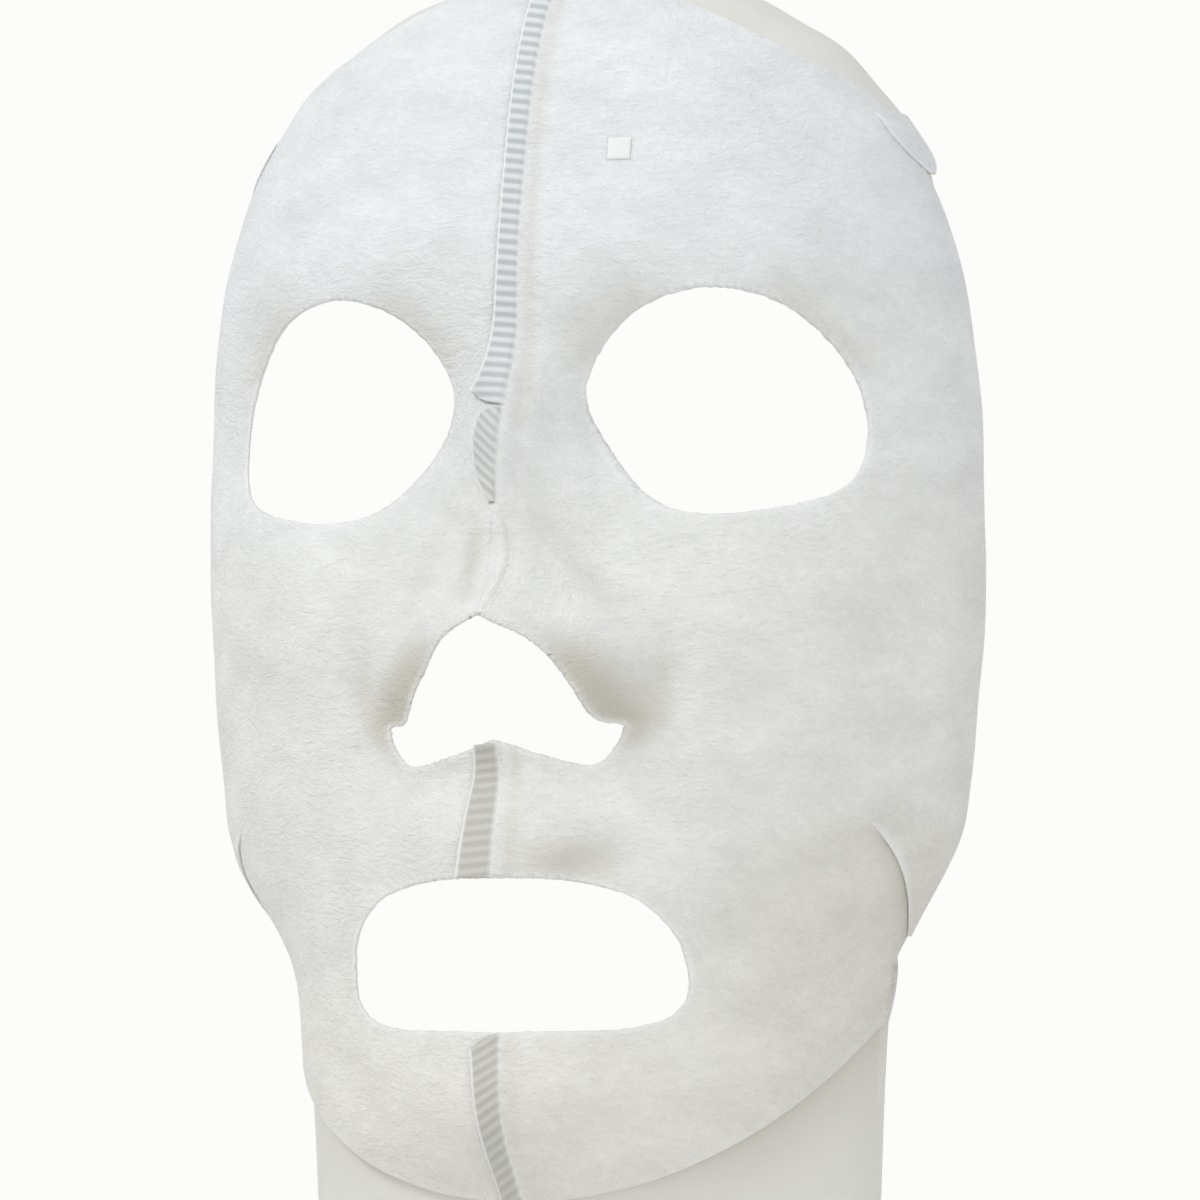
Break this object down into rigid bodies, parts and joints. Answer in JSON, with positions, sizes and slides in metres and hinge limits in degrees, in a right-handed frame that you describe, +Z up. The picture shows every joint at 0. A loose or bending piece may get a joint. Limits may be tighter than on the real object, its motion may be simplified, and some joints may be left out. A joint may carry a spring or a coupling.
{
  "type": "three-dimensional face sheet mask",
  "caption": "Nonwoven face mask of two die-cut half sheets welded along a ribbed centre seam, with a smooth rim and neck layer, and slit flaps at the cheeks and temples.",
  "frame": {"origin": "On the wearer's midline, in the plane of the mask's open back, level with the tip of the nose.", "axes": "-Y is the way the face looks, +X is the wearer's left, +Z is up. The mask is symmetric across X apart from its folded seam and the forehead square."},
  "size_m": [0.1438, 0.0784, 0.2627],
  "materials": {
    "face_sheet": "matt fibrous nonwoven",
    "welded_seam": "pressed, slightly glossy ribs",
    "under_layer": "smooth matt nonwoven",
    "forehead_square": "smooth matt"
  },
  "bodies": {
    "mask": {"face_sheet_right": "face_sheet", "face_sheet_left": "face_sheet", "forehead_seam": "welded_seam", "bridge_seam": "welded_seam", "nose_seam": "welded_seam", "lip_seam": "welded_seam", "chin_seam": "welded_seam", "crown_band": "under_layer", "side_band_right": "under_layer", "side_band_left": "under_layer", "neck_cover": "under_layer", "forehead_square": "forehead_square"},
    "cheek_flap_right": {"cheek_flap_right": "face_sheet"},
    "cheek_flap_left": {"cheek_flap_left": "face_sheet"},
    "temple_flap_right": {"temple_flap_right": "face_sheet"},
    "temple_flap_left": {"temple_flap_left": "face_sheet"}
  },
  "joints": [
    {"name": "cheek_lift_right", "type": "hinge", "parent": "mask", "child": "cheek_flap_right", "pos_m": [-0.0623, -0.0276, -0.0362], "axis": [-0.338, 0.9411, 0], "range_deg": [0, 70]},
    {"name": "cheek_lift_left", "type": "hinge", "parent": "mask", "child": "cheek_flap_left", "pos_m": [0.0623, -0.0276, -0.0362], "axis": [-0.338, -0.9411, 0], "range_deg": [0, 70]},
    {"name": "temple_lift_right", "type": "hinge", "parent": "mask", "child": "temple_flap_right", "pos_m": [-0.0571, -0.0183, 0.0886], "axis": [-0.2676, 0.9635, 0], "range_deg": [0, 60]},
    {"name": "temple_lift_left", "type": "hinge", "parent": "mask", "child": "temple_flap_left", "pos_m": [0.0571, -0.0183, 0.0886], "axis": [-0.2676, -0.9635, 0], "range_deg": [0, 60]}
  ]
}
